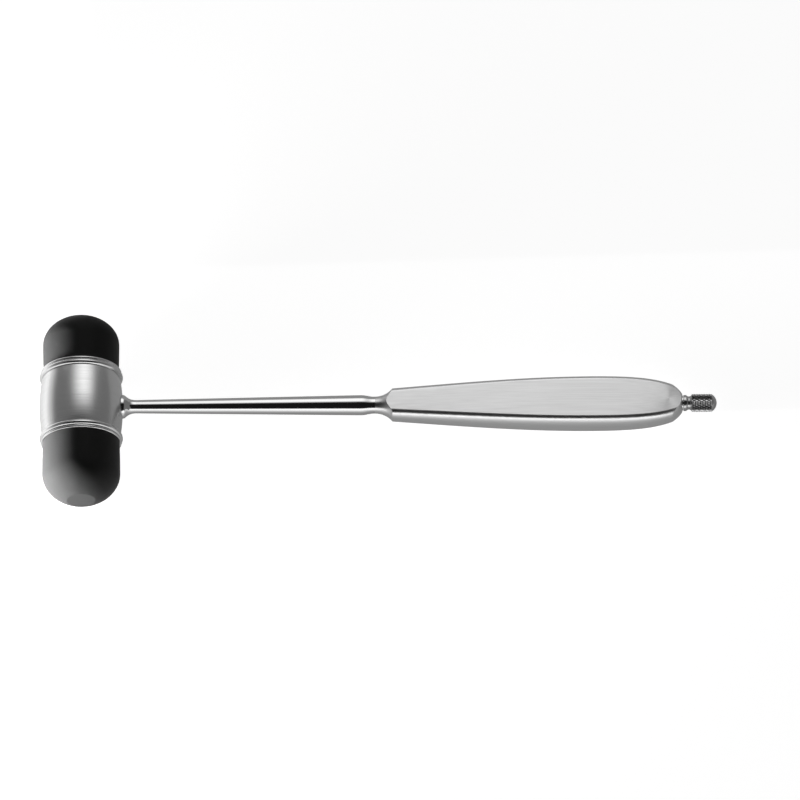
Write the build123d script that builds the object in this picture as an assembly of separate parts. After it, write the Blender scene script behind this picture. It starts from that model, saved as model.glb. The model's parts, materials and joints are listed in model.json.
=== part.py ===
# Reflex hammer with a needle kept in its handle, in millimetres.
# Modelled about its own axes: X runs along the handle away from the head, Y along the head.
# It is then laid down as it rests: on the beads of its head and on the heel of its handle.

import os
from math import asin, cos, degrees, pi, radians, sin, sqrt, tau

from build123d import *

# Head barrel: a turned sleeve with a bead and a lip at each end and a deep socket for each insert
waist_of_barrel_radius = 12.2
belly_rise = 0.73
bead_rise = 0.75
bead_offset = 10.45
bead_half_width = 0.85
lip_rise = 0.35
lip_end_rise = 0.1
lip_width = 0.95
barrel_wall = 1.8
web_half_thickness = 3.6
head_offset = 0.48

# Rubber inserts: one is a little larger than the other
far_insert_overhang = 1.45
far_insert_straight = 9.4
far_dome_height = 9.05
far_flat_depth = 0.4
near_insert_overhang = 1.7
near_insert_straight = 10.3
near_dome_height = 9.75
near_flat_depth = 0.68
rim_pinch = 0.15
plug_clearance = 0.05
plug_bottom_clearance = 0.5

# Shank: a slim taper with a flared foot at the head and a rounded shoulder at the handle
spigot_radius = 1.8
spigot_length = 6.43
spigot_clearance = 0.03
spigot_end_clearance = 0.3
foot_radius = 3.7
foot_height = 4.07
foot_rim_run = 1.0
foot_flare_run = 2.8
shank_start_radius = 2.07
shank_length = 69.5
shoulder_radius = 3.13
shoulder_length = 4.6
shoulder_fullness = 0.52
waist_radius = 2.64
tang_radius = 1.6
tang_length = 12.0

# Handle: flat sided and hollow, swelling towards the butt, with turned ends
flare_radius = 7.0
outline_start = 2.9
swell_length = 63.8
butt_length = 28.55
butt_radius = 2.8
nose_length = 14.35
nose_radius = 8.7
front_half_width = 4.82
front_width_slope = 0.074
full_half_width = 8.34
front_half_thickness = 3.55
front_thickness_slope = 0.03
full_half_thickness = 4.77
butt_run = 10.2
heel_run = 6.35
heel_half_width = 8.3
heel_half_thickness = 4.5
butt_half_width = 4.2
butt_half_thickness = 3.2
shoulder_reach = 2.1
shoulder_depth_share = 0.88
handle_wall = 0.9
front_wall_length = 13.9
butt_wall_length = 7.85

# Needle socket in the butt
bushing_radius = 2.35
bushing_length = 7.0
bushing_stand = 0.25
bushing_clearance = 0.03

# Needle: a plain pin held in a knurled knob with a threaded stud
pin_radius = 0.62
pin_exposed = 27.1
pin_point = 4.5
pin_tip_radius = 0.08
pin_seat = 5.0
pin_clearance = 0.02
thread_pitch = 0.75
thread_root_radius = 1.2
thread_clearance = 0.06
stud_length = 3.6
seat_gap = 0.1
flange_radius = 2.5
flange_thickness = 0.87
flange_edge = 0.12
neck_radius = 2.06
knurl_start = 2.6
diamond_count_round = 22
diamond_count_along = 4
diamond_length = 1.53
knurl_tip_radius = 2.83
knurl_depth = 0.3
knurl_shoulder_radius = 2.72
core_clearance = 0.15
dome_height = 1.6

# Sizes and places that follow
belly_radius = waist_of_barrel_radius + belly_rise
bead_radius = waist_of_barrel_radius + bead_rise
lip_radius = waist_of_barrel_radius + lip_rise
lip_end_radius = waist_of_barrel_radius + lip_end_rise
socket_radius = waist_of_barrel_radius - barrel_wall
far_insert_radius = socket_radius + far_insert_overhang
near_insert_radius = socket_radius + near_insert_overhang
bead_start = bead_offset - bead_half_width
bead_end = bead_offset + bead_half_width
barrel_end = bead_end + lip_width
foot_face = belly_radius - foot_radius
spigot_reach = foot_face - spigot_length - spigot_end_clearance
shank_start = belly_radius + foot_height
shoulder_start = shank_start + shank_length
waist = shoulder_start + shoulder_length
outline_front = waist + outline_start
handle_widest = outline_front + swell_length
butt_face = handle_widest + butt_length
nose_start = butt_face - nose_length
cavity_front = waist + front_wall_length
cavity_rear = butt_face - butt_wall_length
bushing_end = butt_face + bushing_stand
flange_face = bushing_end + seat_gap
knurl_length = diamond_count_along * diamond_length
knurl_end = knurl_start + knurl_length
knob_length = knurl_end + dome_height
beyond = 4 * bead_radius


def turned(outline, axis):
    """Revolve a closed outline about an axis."""
    return revolve(make_face(outline), axis)


def rod(start, end, radius):
    """Round bar along X."""
    return Pos((start + end) / 2, 0, 0) * Rot(0, 90, 0) * Cylinder(radius, end - start)


def barrel_form():
    """Outside of the sleeve with its belly, beads and lips, turned about Y."""
    outer = [
        ThreePointArc(
            (waist_of_barrel_radius, -bead_start), (belly_radius, 0), (waist_of_barrel_radius, bead_start)
        )
    ]
    for side in (1, -1):
        bead = ThreePointArc(
            (waist_of_barrel_radius, side * bead_start),
            (bead_radius, side * bead_offset),
            (waist_of_barrel_radius, side * bead_end),
        )
        lip = ThreePointArc(
            (waist_of_barrel_radius, side * bead_end),
            (lip_radius, side * (bead_end + lip_width / 2)),
            (lip_end_radius, side * barrel_end),
        )
        outer += [bead, lip, Line((lip_end_radius, side * barrel_end), (0, side * barrel_end))]
    outer.append(Line((0, barrel_end), (0, -barrel_end)))
    return turned(Curve() + outer, Axis.Y)


def head_barrel():
    """Barrel with a deep socket at each end and the hole that takes the shank's spigot."""
    hole = Pos(0, head_offset, 0) * rod(spigot_reach, beyond, spigot_radius + spigot_clearance)
    barrel = barrel_form() - hole
    depth = barrel_end - web_half_thickness
    for side in (1, -1):
        middle = side * (barrel_end + web_half_thickness) / 2
        barrel -= Pos(0, middle, 0) * Rot(90, 0, 0) * Cylinder(socket_radius, depth)
    return barrel


def insert(radius, straight, dome, flat_depth):
    """Rubber insert pointing along +Y: plug, slightly pinched rim, crowned end with a small flat."""
    dome_base = barrel_end + straight
    tip = dome_base + dome - flat_depth
    flat_angle = degrees(asin((dome - flat_depth) / dome))
    flat_radius = radius * cos(radians(flat_angle))
    plug_radius = socket_radius - plug_clearance
    plug_end = web_half_thickness + plug_bottom_clearance
    outline = Curve() + [
        Polyline(
            (0, tip), (0, plug_end), (plug_radius, plug_end), (plug_radius, barrel_end),
            (radius - rim_pinch, barrel_end),
        ),
        TangentArc((radius, dome_base), (radius - rim_pinch, barrel_end), tangent=(0, -1)),
        EllipticalCenterArc((0, dome_base), radius, dome, start_angle=0, arc_size=flat_angle),
        Line((flat_radius, tip), (0, tip)),
    ]
    return turned(outline, Axis.Y)


def far_insert():
    return insert(far_insert_radius, far_insert_straight, far_dome_height, far_flat_depth)


def near_insert():
    near = insert(near_insert_radius, near_insert_straight, near_dome_height, near_flat_depth)
    return mirror(near, about=Plane.XZ)


def shank():
    """Tapered rod with its spigot, the foot that saddles the barrel, its shoulder and its tang."""
    spigot_end = spigot_reach + spigot_end_clearance
    shoulder_run = (waist - shoulder_start) * shoulder_fullness
    outline = Curve() + [
        Polyline(
            (spigot_end, 0), (spigot_end, spigot_radius), (foot_face, spigot_radius),
            (foot_face, foot_radius), (belly_radius, foot_radius),
        ),
        Bezier(
            (belly_radius, foot_radius), (belly_radius + foot_rim_run, foot_radius),
            (shank_start - foot_flare_run, shank_start_radius), (shank_start, shank_start_radius),
        ),
        Line((shank_start, shank_start_radius), (shoulder_start, shoulder_radius)),
        Bezier(
            (shoulder_start, shoulder_radius), (shoulder_start + shoulder_run, shoulder_radius),
            (waist - shoulder_run, waist_radius), (waist, waist_radius),
        ),
        Polyline(
            (waist, waist_radius), (waist, tang_radius), (waist + tang_length, tang_radius),
            (waist + tang_length, 0), (spigot_end, 0),
        ),
    ]
    saddle = Pos(0, -head_offset, 0) * barrel_form() - rod(0, beyond, spigot_radius)
    return turned(outline, Axis.X) - saddle


def curve_point(ends, part):
    """Point at a share of the way along a cubic curve given by its four control points."""
    rest = 1 - part
    shares = (rest**3, 3 * rest**2 * part, 3 * rest * part**2, part**3)
    return [sum(share * end[axis] for share, end in zip(shares, ends)) for axis in (0, 1)]


def handle_outline(front, slope, full, heel, butt):
    """Half outline of the handle, as stations: a long swell, then a short run to the butt."""
    swell_run = swell_length / 3
    swell = [
        (outline_front, front), (outline_front + swell_run, front + slope * swell_run),
        (handle_widest - swell_run, full), (handle_widest, full),
    ]
    run_out = [
        (handle_widest, full), (handle_widest + butt_run, full),
        (butt_face - heel_run, heel), (butt_face, butt),
    ]
    stations = [(waist, front - slope * outline_start)]
    stations += [curve_point(swell, part / 4) for part in range(5)]
    stations += [curve_point(run_out, part / 5) for part in range(1, 6)]
    return stations


def handle_section(place, half_width, half_thickness, inset):
    """Cross section: flat above and below, with shoulders that turn quickly and then run down the side."""
    reach = shoulder_reach - inset
    depth = half_thickness * shoulder_depth_share - inset
    side = half_width - shoulder_reach
    level = half_thickness * (1 - shoulder_depth_share)
    outline = Curve()
    corners = [(side, level), (-side, level), (-side, -level), (side, -level)]
    for number, corner in enumerate(corners):
        outline += EllipticalCenterArc(corner, reach, depth, start_angle=90 * number, arc_size=90)
    top = level + depth
    edge = side + reach
    outline += [
        Line((side, top), (-side, top)), Line((-edge, level), (-edge, -level)),
        Line((-side, -top), (side, -top)), Line((edge, -level), (edge, level)),
    ]
    return Plane(origin=(place, 0, 0), x_dir=(0, 1, 0), z_dir=(1, 0, 0)) * make_face(outline)


def handle_block(inset):
    """Smooth solid through the cross sections, with its skin set in by a distance."""
    widths = handle_outline(
        front_half_width, front_width_slope, full_half_width, heel_half_width, butt_half_width
    )
    thicknesses = handle_outline(
        front_half_thickness, front_thickness_slope, full_half_thickness,
        heel_half_thickness, butt_half_thickness,
    )
    sections = []
    for (place, half_width), (_, half_thickness) in zip(widths, thicknesses):
        sections.append(handle_section(place, half_width, half_thickness, inset))
    return loft(sections)


def handle_envelope():
    """Turned form that rounds the handle's trumpet front and its butt."""
    flare_middle = (waist + flare_radius * sin(pi / 4), waist_radius + flare_radius * (1 - cos(pi / 4)))
    nose_run = (butt_face - nose_start) / sqrt(1 - (butt_radius / nose_radius) ** 2)
    nose_angle = degrees(asin(butt_radius / nose_radius))
    outline = Curve() + [
        Line((waist, 0), (waist, waist_radius)),
        ThreePointArc(
            (waist, waist_radius), flare_middle, (waist + flare_radius, waist_radius + flare_radius)
        ),
        Line((waist + flare_radius, waist_radius + flare_radius), (nose_start, nose_radius)),
        EllipticalCenterArc(
            (nose_start, 0), nose_run, nose_radius, start_angle=nose_angle, arc_size=90 - nose_angle
        ),
        Polyline((butt_face, butt_radius), (butt_face, 0), (waist, 0)),
    ]
    return turned(outline, Axis.X)


def handle_form():
    """Solid handle: the block inside the turned envelope."""
    return handle_block(0) & handle_envelope()


def handle_shell():
    """Hollow handle with a bore at the front for the tang and one in the butt for the bushing."""
    middle = (cavity_front + cavity_rear) / 2
    cavity_span = Pos(middle, 0, 0) * Box(cavity_rear - cavity_front, beyond, beyond)
    shell = handle_form() - (handle_block(handle_wall) & cavity_span)
    shell -= rod(waist, cavity_front, tang_radius + spigot_clearance)
    return shell - rod(cavity_rear, beyond + butt_face, bushing_radius + bushing_clearance)


def half_shell(side):
    """Upper half for side 1, lower half for side -1, parted through the narrow sides."""
    reach = butt_face + beyond
    return handle_shell() & (Pos(reach / 2, 0, side * beyond / 2) * Box(reach, beyond, beyond))


def needle_bushing():
    """Socket with the thread's inner wall, brazed into the butt."""
    body = rod(bushing_end - bushing_length, bushing_end, bushing_radius)
    bore = rod(0, beyond + butt_face, thread_root_radius + thread_clearance)
    return body - bore


def needle_pin():
    """Plain pin with a drawn-out point, seated in the knob's stud."""
    tip = flange_face - stud_length - pin_exposed
    tail = flange_face - stud_length + pin_seat
    outline = Polyline(
        (tip, 0), (tip, pin_tip_radius), (tip + pin_point, pin_radius), (tail, pin_radius), (tail, 0), (tip, 0)
    )
    return turned(outline, Axis.X)


def knurl_point(column, step, radius):
    """Point of the knurl's lattice: columns along the knob, half steps round it."""
    angle = step * pi / diamond_count_round
    along = knurl_start + column * diamond_length / 2
    return Vector(along, radius * cos(angle), radius * sin(angle))


def knurl_facets():
    """Four slopes on every diamond, from the crossings of the grooves up to its tip."""
    valley_radius = knurl_tip_radius - knurl_depth
    last_column = 2 * diamond_count_along
    facets = []
    for column in range(last_column + 1):
        for diamond in range(diamond_count_round):
            step = 2 * diamond + column % 2
            tip = knurl_point(column, step, knurl_tip_radius)
            for way in (-1, 1):
                if not 0 <= column + way <= last_column:
                    continue
                ahead = knurl_point(column + way, step, valley_radius)
                for turn in (-1, 1):
                    beside = knurl_point(column, step + turn, valley_radius)
                    facets.append(Face(Wire.make_polygon([tip, ahead, beside])))
    return facets


def knurl_end_face(column):
    """Star-shaped end of the knurled band."""
    valley_radius = knurl_tip_radius - knurl_depth
    rim = []
    for step in range(2 * diamond_count_round):
        on_tip = step % 2 == column % 2
        rim.append(knurl_point(column, step, knurl_tip_radius if on_tip else valley_radius))
    return Face(Wire.make_polygon(rim))


def knurled_band():
    """Closed band of diamonds."""
    ends = [knurl_end_face(0), knurl_end_face(2 * diamond_count_along)]
    return Solid(Shell(knurl_facets() + ends))


def needle_knob():
    """Knob: threaded stud, flange, hollow neck, knurled grip and domed end."""
    core_radius = knurl_tip_radius - knurl_depth - core_clearance
    dome_radius = (knurl_shoulder_radius**2 + dome_height**2) / (2 * dome_height)
    dome_half_angle = asin(knurl_shoulder_radius / dome_radius) / 2
    dome_middle = (
        knob_length - dome_radius * (1 - cos(dome_half_angle)), dome_radius * sin(dome_half_angle)
    )
    neck_middle = (flange_thickness + knurl_start) / 2
    outline = Curve() + [
        Polyline(
            (knob_length, 0), (-stud_length, 0), (-stud_length, thread_root_radius), (0, thread_root_radius),
            (0, flange_radius - flange_edge), (flange_edge, flange_radius),
            (flange_thickness, flange_radius),
        ),
        ThreePointArc(
            (flange_thickness, flange_radius), (neck_middle, neck_radius), (knurl_start, knurl_shoulder_radius)
        ),
        Polyline(
            (knurl_start, knurl_shoulder_radius), (knurl_start, core_radius), (knurl_end, core_radius),
            (knurl_end, knurl_shoulder_radius),
        ),
        ThreePointArc((knurl_end, knurl_shoulder_radius), dome_middle, (knob_length, 0)),
    ]
    pin_bore = rod(-stud_length, pin_seat - stud_length, pin_radius + pin_clearance)
    knob = turned(outline, Axis.X) + knurled_band() - pin_bore
    return Pos(flange_face, 0, 0) * knob


def resting_tilt(handle):
    """Angle that brings the handle's heel down to the level of the beads."""
    tilt = 0.0
    for _ in range(8):
        lowest = (Rot(0, tilt, 0) * handle).bounding_box().min.Z
        tilt += degrees((lowest + bead_radius) / butt_face)
    return tilt


head_place = Pos(0, -head_offset, 0)
pieces = {
    "head_barrel": head_place * head_barrel(),
    "far_insert": head_place * far_insert(),
    "near_insert": head_place * near_insert(),
    "shank": shank(),
    "handle_upper_shell": half_shell(1),
    "handle_lower_shell": half_shell(-1),
    "needle_bushing": needle_bushing(),
    "needle_pin": needle_pin(),
    "needle_knob": needle_knob(),
}

tilt = resting_tilt(pieces["handle_lower_shell"])
laid = {name: Rot(0, tilt, 0) * piece for name, piece in pieces.items()}
box = Compound([piece for piece in laid.values()]).bounding_box()
place = Pos(-box.center().X, -box.center().Y, bead_radius)

os.makedirs("parts", exist_ok=True)
for name, piece in laid.items():
    export_step(place * piece, f"parts/{name}.step")

axis_direction = Vector(cos(radians(tilt)), 0, -sin(radians(tilt)))
shank_root = Vector(-box.center().X, -box.center().Y, bead_radius)
head_centre = shank_root - Vector(0, head_offset, 0)
socket_mouth = shank_root + axis_direction * bushing_end
print("size", box.size, "tilt", tilt)
print("head centre", head_centre)
print("needle axis", axis_direction, "through", socket_mouth)
print("turns to free the needle", stud_length / thread_pitch, "lead per radian", thread_pitch / tau)
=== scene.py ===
# %% [markdown]
# A reflex hammer, dressed for its portrait
#
# The hammer itself is already modelled: a turned steel barrel with a rubber insert in each end, a tapered
# shank, a flat-sided hollow handle and a needle that is screwed into the handle's butt. This lesson gives
# it its look: how each surface was finished, and the studio that those surfaces mirror. Polished metal
# has hardly a colour of its own. What the eye reads as steel is a picture of the room, bent by the form,
# so most of this lesson is about building a room that is worth mirroring.

import json
from math import asin, cos, degrees, pi, radians, sin

import bpy
from mathutils import Matrix, Vector


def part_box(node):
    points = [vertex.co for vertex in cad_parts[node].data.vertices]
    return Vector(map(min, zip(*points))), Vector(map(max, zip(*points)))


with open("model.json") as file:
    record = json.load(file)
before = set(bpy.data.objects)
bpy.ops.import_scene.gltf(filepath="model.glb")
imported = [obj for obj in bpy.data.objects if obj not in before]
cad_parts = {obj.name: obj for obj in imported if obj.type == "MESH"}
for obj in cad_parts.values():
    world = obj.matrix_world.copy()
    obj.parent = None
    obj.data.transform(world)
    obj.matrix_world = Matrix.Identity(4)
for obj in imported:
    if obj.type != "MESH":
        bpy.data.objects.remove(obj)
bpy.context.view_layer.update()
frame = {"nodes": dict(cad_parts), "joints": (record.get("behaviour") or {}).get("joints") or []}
print("pieces:", sorted(frame["nodes"]))

# %% [markdown]
# The hammer's own axes
#
# The hammer lies on the beads of its head and on the heel of its handle, so its handle slopes down a
# little. Every finish follows the metal and not the room: turning marks run round the barrel, and brush
# lines run along the handle. The screw joint of the needle lies on the handle's axis, so it gives that
# direction.

# %% Read the axes from the joints
joints = {joint["name"]: joint for joint in frame["joints"]}
along = Vector(joints["knob_turn"]["axis"]).normalized()
across = Vector((0, 1, 0))
upward = along.cross(across)
barrel_low, barrel_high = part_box("head_barrel")
head_centre = (barrel_low + barrel_high) / 2
handle_tilt = asin(-along.z)
print("handle slopes by", round(degrees(handle_tilt), 2), "degrees")

# %% [markdown]
# The camera
#
# Small instruments are photographed from far away with a long lens, so that the head and the handle keep
# their right angle and nothing converges. A 1000 mm lens seven metres off does that here. It looks down
# on the hammer, tipped 26 degrees towards the nearer insert, and the picture is turned by four tenths of
# a degree.

# %% Set up the camera
view_tip = radians(26.0)
picture_roll = radians(0.385)
picture_pixels = 800
metres_per_pixel = 0.00031
head_pixel = Vector((81.2, 408.5))
lens_mm = 1000.0
sensor_mm = 36.0
nearest_seen = 0.1

towards_camera = (cos(view_tip) * upward - sin(view_tip) * across).normalized()
picture_up = (sin(view_tip) * upward + cos(view_tip) * across).normalized()
camera_right = cos(picture_roll) * along - sin(picture_roll) * picture_up
camera_up = sin(picture_roll) * along + cos(picture_roll) * picture_up
middle = picture_pixels / 2
aim = (
    head_centre
    + camera_right * (middle - head_pixel.x) * metres_per_pixel
    + camera_up * (head_pixel.y - middle) * metres_per_pixel
)
camera_distance = picture_pixels * metres_per_pixel * lens_mm / sensor_mm

camera_data = bpy.data.cameras.new("camera")
camera_data.lens = lens_mm
camera_data.sensor_width = sensor_mm
camera_data.clip_start = nearest_seen
camera_data.clip_end = 3 * camera_distance
camera = bpy.data.objects.new("camera", camera_data)
bpy.context.scene.collection.objects.link(camera)
turn = Matrix((camera_right, camera_up, towards_camera)).transposed().to_4x4()
camera.matrix_world = Matrix.Translation(aim + towards_camera * camera_distance) @ turn
bpy.context.scene.camera = camera
bpy.context.scene.view_settings.view_transform = "Standard"
print("camera stands", round(camera_distance, 2), "m away")

# %% [markdown]
# Building materials from nodes
#
# Three small helpers keep the materials short. One makes a material and hands back its shader, one adds a
# node with its settings, and one reads the place on the metal. A piece's own coordinates are used, so a
# finish stays put when the needle is unscrewed.

# %% Helpers for adding nodes and naming materials
def add(tree, kind, **settings):
    """Add a node. Names of inputs set their values, and other names set the node's own options."""
    node = tree.nodes.new(kind)
    for name, value in settings.items():
        if name in node.inputs:
            node.inputs[name].default_value = value
        else:
            setattr(node, name, value)
    return node


def new_material(name, **values):
    """A material with one Principled shader, whose sockets take plain values."""
    material = bpy.data.materials.new(name)
    material.use_nodes = True
    tree = material.node_tree
    shader = tree.nodes["Principled BSDF"]
    for socket, value in values.items():
        shader.inputs[socket.replace("_", " ")].default_value = value
    return material, tree, shader


def metal_place(tree):
    """Place on the piece with X along the handle, Y along the head and the slope taken out."""
    coordinates = add(tree, "ShaderNodeTexCoord")
    level = add(tree, "ShaderNodeMapping", vector_type="POINT")
    level.inputs["Rotation"].default_value = (0, -handle_tilt, 0)
    tree.links.new(coordinates.outputs["Object"], level.inputs["Vector"])
    return level.outputs["Vector"]


def dress(node_names, material):
    """Give CAD pieces a material."""
    for name in node_names:
        slots = frame["nodes"][name].data.materials
        slots.clear()
        slots.append(material)
    print(material.name, "on", ", ".join(node_names))


# %% [markdown]
# Brush lines
#
# Steel is finished with an abrasive belt or on a lathe, and both leave long fine scratches. They are the
# same effect in different directions, so one node group makes them: noise squeezed across the lines and
# drawn out along them. It gives a mask for colour and roughness, and a height for the bump. Every
# material that uses it sets its own stretch.

# %% Node group for brush lines
def socket(group, name, kind, way, value=None):
    """Give a node group an input or an output."""
    made = group.interface.new_socket(name=name, in_out=way, socket_type=kind)
    if value is not None:
        made.default_value = value
    return made


brush_lines = bpy.data.node_groups.new("brush lines", "ShaderNodeTree")
socket(brush_lines, "Place", "NodeSocketVector", "INPUT")
socket(brush_lines, "Lines per metre", "NodeSocketVector", "INPUT", (100, 100, 100))
socket(brush_lines, "Contrast", "NodeSocketFloat", "INPUT", 1.0)
socket(brush_lines, "Mask", "NodeSocketFloat", "OUTPUT")
inside = add(brush_lines, "NodeGroupInput")
outside = add(brush_lines, "NodeGroupOutput")
stretch = add(brush_lines, "ShaderNodeVectorMath", operation="MULTIPLY")
lines = add(brush_lines, "ShaderNodeTexNoise", Scale=1.0, Detail=4.0, Roughness=0.65)
spread = add(brush_lines, "ShaderNodeMath", operation="SUBTRACT")
spread.inputs[1].default_value = 0.5
strength = add(brush_lines, "ShaderNodeMath", operation="MULTIPLY")
centre = add(brush_lines, "ShaderNodeMath", operation="ADD", use_clamp=True)
centre.inputs[1].default_value = 0.5
link = brush_lines.links.new
link(inside.outputs["Place"], stretch.inputs[0])
link(inside.outputs["Lines per metre"], stretch.inputs[1])
link(stretch.outputs["Vector"], lines.inputs["Vector"])
link(lines.outputs["Fac"], spread.inputs[0])
link(spread.outputs["Value"], strength.inputs[0])
link(inside.outputs["Contrast"], strength.inputs[1])
link(strength.outputs["Value"], centre.inputs[0])
link(centre.outputs["Value"], outside.inputs["Mask"])
print("node group:", brush_lines.name)


def add_brush_lines(tree, place, lines_per_metre, contrast):
    """Place the group in a material and return its mask."""
    node = add(tree, "ShaderNodeGroup", node_tree=brush_lines)
    node.inputs["Lines per metre"].default_value = lines_per_metre
    node.inputs["Contrast"].default_value = contrast
    tree.links.new(place, node.inputs["Place"])
    return node.outputs["Mask"]


def remap(tree, mask, low, high):
    """Turn a mask from 0 to 1 into a value from low to high."""
    node = add(tree, "ShaderNodeMapRange")
    node.inputs["To Min"].default_value = low
    node.inputs["To Max"].default_value = high
    tree.links.new(mask, node.inputs["Value"])
    return node.outputs["Result"]


def grey_mix(tree, mask, dark, light):
    """A colour between two greys."""
    node = add(tree, "ShaderNodeMix", data_type="RGBA")
    node.inputs[6].default_value = (dark, dark, dark, 1)
    node.inputs[7].default_value = (light, light, light, 1)
    tree.links.new(mask, node.inputs["Factor"])
    return node.outputs[2]


def bump(tree, shader, height, depth, strength):
    """Let a height bend the shader's normal."""
    node = add(tree, "ShaderNodeBump", Strength=strength, Distance=depth)
    tree.links.new(height, node.inputs["Height"])
    tree.links.new(node.outputs["Normal"], shader.inputs["Normal"])


# %% [markdown]
# Turned steel of the barrel
#
# The barrel holds both inserts and gives the head its weight. It is turned from bar, and then rubbed with
# fine abrasive on the lathe, so its scratches run round it. Such a surface smears reflections along the
# barrel and keeps them crisp round it. The shader calls that anisotropy, and a tangent tells it which way
# is round.

# %% Barrel material
def round_axis(tree, shader, axis):
    """Tell the shader which way runs round an axis of the piece."""
    tangent = add(tree, "ShaderNodeTangent", direction_type="RADIAL", axis=axis)
    tree.links.new(tangent.outputs["Tangent"], shader.inputs["Tangent"])


turned_steel, tree, shader = new_material("turned_steel", Metallic=1.0, Anisotropic=0.75)
round_axis(tree, shader, "Y")
place = metal_place(tree)
marks = add_brush_lines(tree, place, (60, 5200, 60), 1.6)
tree.links.new(grey_mix(tree, marks, 0.54, 0.68), shader.inputs["Base Color"])
tree.links.new(remap(tree, marks, 0.26, 0.17), shader.inputs["Roughness"])
bump(tree, shader, marks, 0.000006, 0.35)
dress(["head_barrel"], turned_steel)

# %% [markdown]
# Polished steel of the shank
#
# The shank carries the head, and the bushing and the pin keep the needle. All three are turned to a taper
# or a step and buffed bright. Their lines are almost gone, and they mirror the studio with hard edges: a
# black core with a bright line on each side. The fine marks that are left run along the rod, as a buffing
# wheel leaves them.

# %% Material of the shank and the needle
polished_steel, tree, shader = new_material("polished_steel", Metallic=1.0)
place = metal_place(tree)
marks = add_brush_lines(tree, place, (40, 1800, 1800), 1.2)
tree.links.new(grey_mix(tree, marks, 0.6, 0.68), shader.inputs["Base Color"])
tree.links.new(remap(tree, marks, 0.15, 0.09), shader.inputs["Roughness"])
dress(["shank", "needle_bushing", "needle_pin"], polished_steel)

# %% [markdown]
# Satin steel of the handle
#
# The handle is two pressed shells, brazed along the narrow sides and ground on a belt from end to end,
# which hides the joint. Its lines run along it, so reflections are smeared across: the same anisotropy as
# on the barrel, turned by a quarter. A satin handle also hides finger marks.

# %% Handle material
satin_steel, tree, shader = new_material(
    "satin_steel", Metallic=1.0, Anisotropic=0.7, Anisotropic_Rotation=0.25
)
round_axis(tree, shader, "X")
place = metal_place(tree)
marks = add_brush_lines(tree, place, (35, 4200, 4200), 1.5)
tree.links.new(grey_mix(tree, marks, 0.63, 0.77), shader.inputs["Base Color"])
tree.links.new(remap(tree, marks, 0.4, 0.3), shader.inputs["Roughness"])
bump(tree, shader, marks, 0.000005, 0.3)
dress(["handle_upper_shell", "handle_lower_shell"], satin_steel)

# %% [markdown]
# Knurled steel of the knob
#
# The knob unscrews the needle, so its grip is pressed between two slanted rollers into small diamonds. The
# diamonds belong to the solid. The steel between them is left as it came, greyer and rougher than the
# polished parts, and an even noise varies it in small patches.

# %% Knob material
knurled_steel, tree, shader = new_material("knurled_steel", Metallic=1.0)
place = metal_place(tree)
marks = add_brush_lines(tree, place, (900, 900, 900), 1.0)
tree.links.new(grey_mix(tree, marks, 0.42, 0.55), shader.inputs["Base Color"])
tree.links.new(remap(tree, marks, 0.32, 0.2), shader.inputs["Roughness"])
dress(["needle_knob"], knurled_steel)

# %% [markdown]
# Black rubber of the inserts
#
# The inserts soften the blow on the tendon. They are moulded from dense black rubber with a smooth satin
# skin, which carries hardly any shine. Lit from one side, such a skin glows grey towards the light and
# stays black everywhere else. The finest noise in it keeps the glow from looking like plastic.

# %% Rubber material
black_rubber, tree, shader = new_material("black_rubber", Specular_IOR_Level=0.08)
place = metal_place(tree)
skin = add_brush_lines(tree, place, (2600, 2600, 2600), 1.0)
tree.links.new(grey_mix(tree, skin, 0.07, 0.088), shader.inputs["Base Color"])
tree.links.new(remap(tree, skin, 0.5, 0.56), shader.inputs["Roughness"])
bump(tree, shader, skin, 0.00001, 0.2)
dress(["far_insert", "near_insert"], black_rubber)

# %% [markdown]
# The floor
#
# The hammer lies on a table of white paper. The paper is lit very little, so that the rubber can stay
# black, and it therefore shines a little by itself, for the camera and for reflections only. The light
# that it gets comes on top of that, so the hammer still has a faint shadow.

# %% Floor
floor_mesh = bpy.data.meshes.new("floor")
floor_half = 6.0
corners = [(-floor_half, -floor_half, 0), (floor_half, -floor_half, 0),
           (floor_half, floor_half, 0), (-floor_half, floor_half, 0)]
floor_mesh.from_pydata(corners, [], [(0, 1, 2, 3)])
floor = bpy.data.objects.new("floor", floor_mesh)
bpy.context.scene.collection.objects.link(floor)
paper_shine = 0.93
paper, tree, shader = new_material("white_paper", Base_Color=(0.85, 0.85, 0.85, 1), Roughness=0.9)
rays = add(tree, "ShaderNodeLightPath")
seen = add(tree, "ShaderNodeMath", operation="MAXIMUM")
lift = add(tree, "ShaderNodeMath", operation="MULTIPLY")
lift.inputs[1].default_value = paper_shine
tree.links.new(rays.outputs["Is Camera Ray"], seen.inputs[0])
tree.links.new(rays.outputs["Is Glossy Ray"], seen.inputs[1])
tree.links.new(seen.outputs["Value"], lift.inputs[0])
shader.inputs["Emission Color"].default_value = (1, 1, 1, 1)
tree.links.new(lift.outputs["Value"], shader.inputs["Emission Strength"])
floor_mesh.materials.append(paper)
print(floor.name, "shines by", paper_shine)

# %% [markdown]
# The surround
#
# Behind everything the studio is white, for the camera and for the metal alike. What lights the matt
# surfaces is almost nothing, and the lamps do that instead, so that each effect has its own control.

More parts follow.
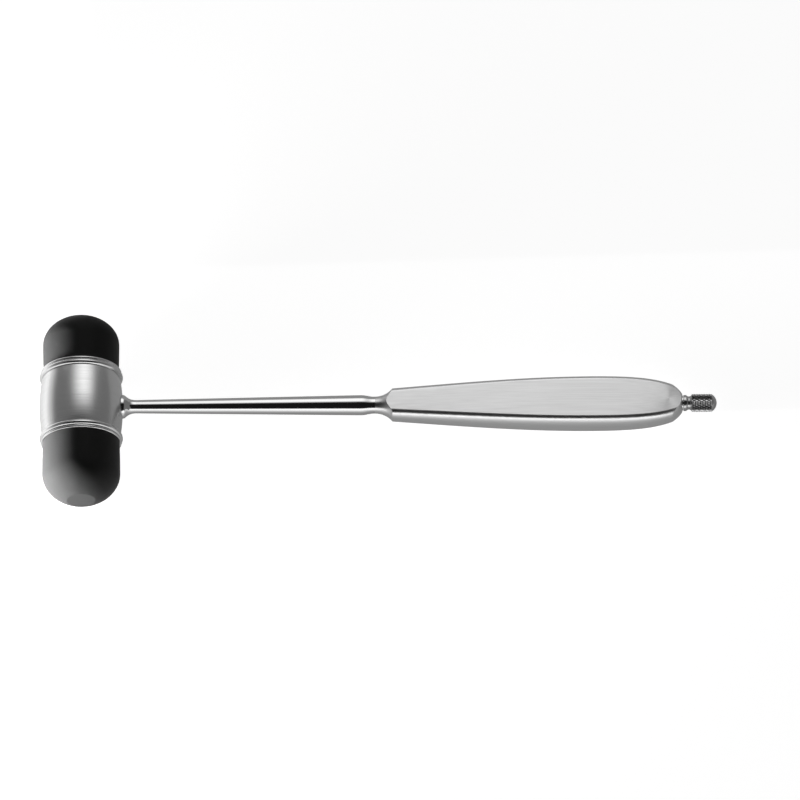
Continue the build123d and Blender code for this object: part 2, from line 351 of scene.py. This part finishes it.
# %% Surround
world = bpy.data.worlds.new("surround")
bpy.context.scene.world = world
world.use_nodes = True
tree = world.node_tree
background = tree.nodes["Background"]
background.inputs["Color"].default_value = (1, 1, 1, 1)
rays = add(tree, "ShaderNodeLightPath")
seen = add(tree, "ShaderNodeMath", operation="MAXIMUM")
seen_through = add(tree, "ShaderNodeMath", operation="MAXIMUM")
ambient = 0.01
level = remap(tree, seen_through.outputs["Value"], ambient, 1.0)
tree.links.new(rays.outputs["Is Camera Ray"], seen.inputs[0])
tree.links.new(rays.outputs["Is Glossy Ray"], seen.inputs[1])
tree.links.new(seen.outputs["Value"], seen_through.inputs[0])
tree.links.new(rays.outputs["Is Transmission Ray"], seen_through.inputs[1])
tree.links.new(level, background.inputs["Strength"])
print("surround: white to look at, ambient light", ambient)

# %% [markdown]
# Soft edges for cards
#
# A card with a hard edge draws a hard line into polished steel. Most real cards are lit unevenly and
# fade, so a node group turns a place on the card into a mask, which is full in the middle and fades to
# nothing at the edge. How early it fades can differ between width and height.

# %% Node group for soft edges
soft_edges = bpy.data.node_groups.new("soft edges", "ShaderNodeTree")
socket(soft_edges, "Place", "NodeSocketVector", "INPUT")
socket(soft_edges, "Half size", "NodeSocketVector", "INPUT", (1, 1, 1))
socket(soft_edges, "Full until", "NodeSocketVector", "INPUT", (0.5, 0.5, 0))
socket(soft_edges, "Mask", "NodeSocketFloat", "OUTPUT")
inside = add(soft_edges, "NodeGroupInput")
outside = add(soft_edges, "NodeGroupOutput")
link = soft_edges.links.new
share = add(soft_edges, "ShaderNodeVectorMath", operation="DIVIDE")
positive = add(soft_edges, "ShaderNodeVectorMath", operation="ABSOLUTE")
split = add(soft_edges, "ShaderNodeSeparateXYZ")
starts = add(soft_edges, "ShaderNodeSeparateXYZ")
link(inside.outputs["Place"], share.inputs[0])
link(inside.outputs["Half size"], share.inputs[1])
link(share.outputs["Vector"], positive.inputs[0])
link(positive.outputs["Vector"], split.inputs["Vector"])
link(inside.outputs["Full until"], starts.inputs["Vector"])
product = add(soft_edges, "ShaderNodeMath", operation="MULTIPLY")
for number, side in enumerate("XY"):
    fade = add(soft_edges, "ShaderNodeMapRange", interpolation_type="SMOOTHSTEP")
    fade.inputs["From Max"].default_value = 1.0
    fade.inputs["To Min"].default_value = 1.0
    fade.inputs["To Max"].default_value = 0.0
    link(split.outputs[side], fade.inputs["Value"])
    link(starts.outputs[side], fade.inputs["From Min"])
    link(fade.outputs["Result"], product.inputs[number])
link(product.outputs["Value"], outside.inputs["Mask"])
print("node group:", soft_edges.name)

# %% [markdown]
# The cards
#
# Steel shows what stands around it, so the cards are the picture that it reflects. They are seen only by
# reflections: they aren't in the picture, and they take no light away. Dark ones above and in front draw
# the black core along the shank, bright ones at the far and the near side draw the two bright lines
# beside it, and what lies on the table near the hammer sets the tone of its flanks.

# %% Card function
def card(name, place, target, width, height, shade, edge_shade=None, full_until=(0.5, 0.5)):
    """A sheet that only reflections see, facing a target. It may fade towards its edges."""
    mesh = bpy.data.meshes.new(name)
    half = Vector((width / 2, height / 2))
    points = [(-half.x, -half.y, 0), (half.x, -half.y, 0), (half.x, half.y, 0), (-half.x, half.y, 0)]
    mesh.from_pydata(points, [], [(0, 1, 2, 3)])
    made = bpy.data.objects.new(name, mesh)
    bpy.context.scene.collection.objects.link(made)
    facing = (Vector(place) - Vector(target)).to_track_quat("Z", "Y")
    made.matrix_world = Matrix.Translation(place) @ facing.to_matrix().to_4x4()
    paper, tree, shader = new_material(name + "_paper", Base_Color=(0, 0, 0, 1), Roughness=1.0)
    shader.inputs["Specular IOR Level"].default_value = 0.0
    shader.inputs["Emission Color"].default_value = (1, 1, 1, 1)
    shader.inputs["Emission Strength"].default_value = shade
    if edge_shade is not None:
        coordinates = add(tree, "ShaderNodeTexCoord")
        edges = add(tree, "ShaderNodeGroup", node_tree=soft_edges)
        edges.inputs["Half size"].default_value = (half.x, half.y, 1)
        edges.inputs["Full until"].default_value = (full_until[0], full_until[1], 0)
        tree.links.new(coordinates.outputs["Object"], edges.inputs["Place"])
        fade = remap(tree, edges.outputs["Mask"], edge_shade, shade)
        tree.links.new(fade, shader.inputs["Emission Strength"])
    mesh.materials.append(paper)
    made.visible_camera = False
    made.visible_diffuse = False
    made.visible_transmission = False
    made.visible_shadow = False
    return made


print("cards can fade with the group", soft_edges.name)

# %% [markdown]
# Walls and ceiling
#
# The dark ceiling towards the viewer and the dark wall below it give the steel its black. The other walls
# are greys. On the head's side a glow rises from the table, as where daylight falls in low.

# %% Walls and ceiling
black = 0.01
charcoal = 0.2
slate = 0.38
pale = 0.9
room = 1.3
ceiling = 1.2
no_fade = 0.999
card("near_ceiling", (0, -0.55, ceiling), (0, -0.55, 0), 2 * room, 1.5, black)
card("far_ceiling", (0, 0.75, ceiling), (0, 0.75, 0), 2 * room, 1.1, charcoal)
walls = {
    "far_wall": ((0, room), slate),
    "right_wall": ((room, 0), charcoal),
    "left_wall": ((-room, 0), charcoal),
    "near_wall": ((0, -room), black),
}
for name, (place, shade) in walls.items():
    card(name, (*place, ceiling / 2), (0, 0, ceiling / 2), 2 * room, ceiling, shade)
card("left_glow", (-room + 0.01, 0, 0), (0, 0, 0), 2 * room, 0.72, pale, charcoal, (no_fade, 0.0))
print("walls:", ", ".join(walls))

# %% [markdown]
# Bright panels
#
# Two large panels give the two bright lines that run along the shank. The far one also lies in the top of
# the handle. Both fade towards their edges, so that the lines have soft ends.

# %% Bright panels
bright = 1.6
card("near_panel", (0, -room + 0.02, 0.2), (0, 0, 0.2), 2 * room, 1.0, bright, 0.0, (no_fade, 0.6))
card("far_panel", (0.05, 0.52, 0.61), (0.05, 0, 0.012), 1.1, 0.95, bright, charcoal, (0.0, 0.3))
print("panels at the near and the far side:", bright)

# %% [markdown]
# Table tops
#
# The flanks of the hammer mirror the table. Near the metal a painted shadow makes it dim, standing in for
# the hammer's own shadow on the table, and it gets brighter further out. To the left of the head a painted
# pool of light lies on it.

# %% Table tops
table = 0.0002
table_middle = 0.61
table_width = 1.4
card("near_table", (table_middle, -0.65, table), (table_middle, -0.65, -1), table_width, 1.3, 0.95)
# Painted shadow: a dark band on the table card right under the hammer, brightening outwards, seen only in
# reflections.
card(
    "painted_table_shadow",
    (table_middle, 0, 2 * table), (table_middle, 0, -1),
    table_width, 0.11, 0.3, 0.95, (no_fade, 0.0),
)
card("far_table", (table_middle, 0.655, 3 * table), (table_middle, 0.655, -1), table_width, 1.29, 0.35)
card("left_table", (-0.7, 0, table), (-0.7, 0, -1), 1.22, 2 * room, pale)
# Painted pool of light: a bright patch on the table card left of the head, seen only in reflections.
card("painted_light_pool", (-0.165, 0, 2 * table), (-0.165, 0, -1), 0.13, 0.6, 1.55, pale, (0.3, 0.5))
print("table tops start", table * 1000, "mm above the floor")

# %% [markdown]
# The lamps
#
# Only the rubber and the paper see the lamps. A low slim lamp close to the nearer insert makes one side of
# it glow, and its light falls off towards the farther insert because it is so close. It is stronger than a
# plain studio level, so the rubber looks lighter there than its colour. A large soft one above does the rest.

# %% Lamps
def softbox(name, place, target, width, height, radiance):
    """A rectangular soft lamp that faces a target and leaves reflections to the cards."""
    data = bpy.data.lights.new(name, "AREA")
    data.shape = "RECTANGLE"
    data.size = width
    data.size_y = height
    data.energy = radiance * pi * width * height
    lamp = bpy.data.objects.new(name, data)
    bpy.context.scene.collection.objects.link(lamp)
    facing = (Vector(target) - Vector(place)).to_track_quat("-Z", "Y")
    lamp.matrix_world = Matrix.Translation(place) @ facing.to_matrix().to_4x4()
    lamp.visible_camera = False
    lamp.visible_glossy = False
    print(name, "at", tuple(round(value, 2) for value in place))
    return lamp


softbox("left_softbox", (-0.178, -0.052, 0.012), (-0.1, -0.012, 0.012), 0.08, 0.02, 80.0)
softbox("top_softbox", (0.0, 0.3, 0.9), (0.0, 0, 0), 0.9, 0.9, 0.08)
